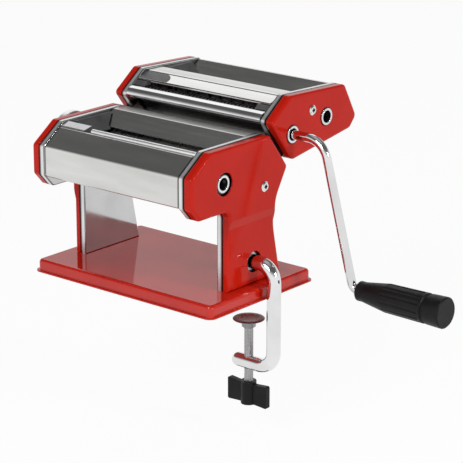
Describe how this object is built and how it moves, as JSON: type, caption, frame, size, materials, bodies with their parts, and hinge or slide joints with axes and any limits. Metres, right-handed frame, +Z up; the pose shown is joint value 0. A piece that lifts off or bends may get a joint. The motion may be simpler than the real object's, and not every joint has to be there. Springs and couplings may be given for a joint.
{
  "type": "pasta roller machine",
  "caption": "Hand-cranked pasta roller machine with a hook-on cutter head, adjustable roller gap, fluted crank handle and a screw clamp for a table edge",
  "frame": {"origin": "centre of the base, in the plane of its feet", "axes": "+X along the rollers towards the crank, -Y towards the feed side, +Z up"},
  "size_m": [0.371, 0.2198, 0.2645],
  "materials": {
    "red_paint": "gloss red stove enamel",
    "chrome": "bright chrome plate on pressed steel",
    "steel": "turned or ground steel",
    "black_plastic": "moulded, low sheen",
    "nylon": "moulded grey nylon",
    "rubber": "moulded, dull"
  },
  "bodies": {
    "frame": {"base_tray": "red_paint", "rubber_feet": "rubber", "base_screws": "steel", "right_frame": "chrome", "left_frame": "chrome", "right_casing": "red_paint", "left_casing": "red_paint", "tie_bars": "steel", "casing_screws": "chrome", "front_cover": "chrome", "rear_cover": "chrome", "front_scraper": "steel", "rear_scraper": "steel", "right_feed_guide": "nylon", "left_feed_guide": "nylon", "drive_bush": "nylon", "idle_bush": "nylon", "cutter_rails": "steel", "clamp_sleeve": "steel"},
    "front_roller": {"front_roller": "steel", "front_roller_gear": "steel"},
    "carriage": {"right_bearing_block": "nylon", "left_bearing_block": "nylon"},
    "rear_roller": {"rear_roller": "steel", "rear_roller_gear": "steel"},
    "adjuster": {"adjuster_spindle": "steel"},
    "knob": {"adjuster_knob": "black_plastic"},
    "cutter": {"cutter_right_frame": "chrome", "cutter_left_frame": "chrome", "cutter_right_casing": "red_paint", "cutter_left_casing": "red_paint", "cutter_tie_bar": "steel", "cutter_screws": "chrome", "cutter_channels": "steel", "cutter_drive_bushes": "nylon", "cutter_idle_bushes": "nylon", "cutter_roof": "chrome", "cutter_nose": "chrome", "cutter_back": "chrome", "cutter_feed_guides": "nylon"},
    "fine_drive": {"fine_drive_roller": "steel", "fine_drive_gear": "steel"},
    "fine_mate": {"fine_mate_roller": "steel", "fine_mate_gear": "steel"},
    "wide_drive": {"wide_drive_roller": "steel", "wide_drive_gear": "steel"},
    "wide_mate": {"wide_mate_roller": "steel", "wide_mate_gear": "steel"},
    "crank": {"crank_rod": "chrome"},
    "grip": {"crank_grip": "black_plastic"},
    "clamp": {"clamp_rod": "chrome"},
    "pad": {"clamp_pad": "steel"},
    "screw": {"clamp_screw": "steel", "clamp_wing": "black_plastic"}
  },
  "joints": [
    {"name": "front_roller_spin", "type": "hinge", "parent": "frame", "child": "front_roller", "pos_m": [0, -0.037, 0.108], "axis": [1, 0, 0], "continuous": true},
    {"name": "gap_turn", "type": "hinge", "parent": "frame", "child": "adjuster", "pos_m": [-0.0904, -0.00375, 0.108], "axis": [1, 0, 0], "range_deg": [0, 180]},
    {"name": "gap_slide", "type": "slide", "parent": "frame", "child": "carriage", "axis": [0, -1, 0], "range_m": [0, 0.0025]},
    {"name": "rear_roller_spin", "type": "hinge", "parent": "carriage", "child": "rear_roller", "pos_m": [0, -0.0025, 0.108], "axis": [1, 0, 0], "continuous": true},
    {"name": "knob_pull", "type": "slide", "parent": "adjuster", "child": "knob", "axis": [-1, 0, 0], "range_m": [-0.004, 0]},
    {"name": "cutter_lift", "type": "slide", "parent": "frame", "child": "cutter", "axis": [0, -0.6109, 0.7917], "range_m": [0, 0.04]},
    {"name": "fine_drive_spin", "type": "hinge", "parent": "cutter", "child": "fine_drive", "pos_m": [0, 0.0518, 0.1326], "axis": [1, 0, 0], "continuous": true},
    {"name": "fine_mate_spin", "type": "hinge", "parent": "cutter", "child": "fine_mate", "pos_m": [0, 0.03999, 0.14483], "axis": [1, 0, 0], "continuous": true},
    {"name": "wide_drive_spin", "type": "hinge", "parent": "cutter", "child": "wide_drive", "pos_m": [0, 0.0984, 0.1392], "axis": [1, 0, 0], "continuous": true},
    {"name": "wide_mate_spin", "type": "hinge", "parent": "cutter", "child": "wide_mate", "pos_m": [0, 0.11503, 0.14273], "axis": [1, 0, 0], "continuous": true},
    {"name": "crank_pull", "type": "slide", "parent": "fine_drive", "child": "crank", "axis": [1, 0, 0], "range_m": [0, 0.02]},
    {"name": "grip_spin", "type": "hinge", "parent": "crank", "child": "grip", "pos_m": [0.2, 0.0518, 0.0091], "axis": [1, 0, 0], "continuous": true},
    {"name": "clamp_pull", "type": "slide", "parent": "frame", "child": "clamp", "axis": [1, 0, 0], "range_m": [0, 0.02]},
    {"name": "pad_slide", "type": "slide", "parent": "clamp", "child": "pad", "axis": [0, 0, 1], "range_m": [-0.025, 0.01]},
    {"name": "screw_turn", "type": "hinge", "parent": "pad", "child": "screw", "pos_m": [0.0826, 0.0038, -0.06], "axis": [0, 0, 1], "range_deg": [-7200, 2880]}
  ],
  "couplings": [
    {"joint": "gap_turn", "follows": "gap_slide", "rad_per_m": 1256.6},
    {"joint": "rear_roller_spin", "follows": "front_roller_spin", "ratio": -1},
    {"joint": "fine_mate_spin", "follows": "fine_drive_spin", "ratio": -1},
    {"joint": "wide_mate_spin", "follows": "wide_drive_spin", "ratio": -1},
    {"joint": "screw_turn", "follows": "pad_slide", "rad_per_m": 5026.5}
  ]
}
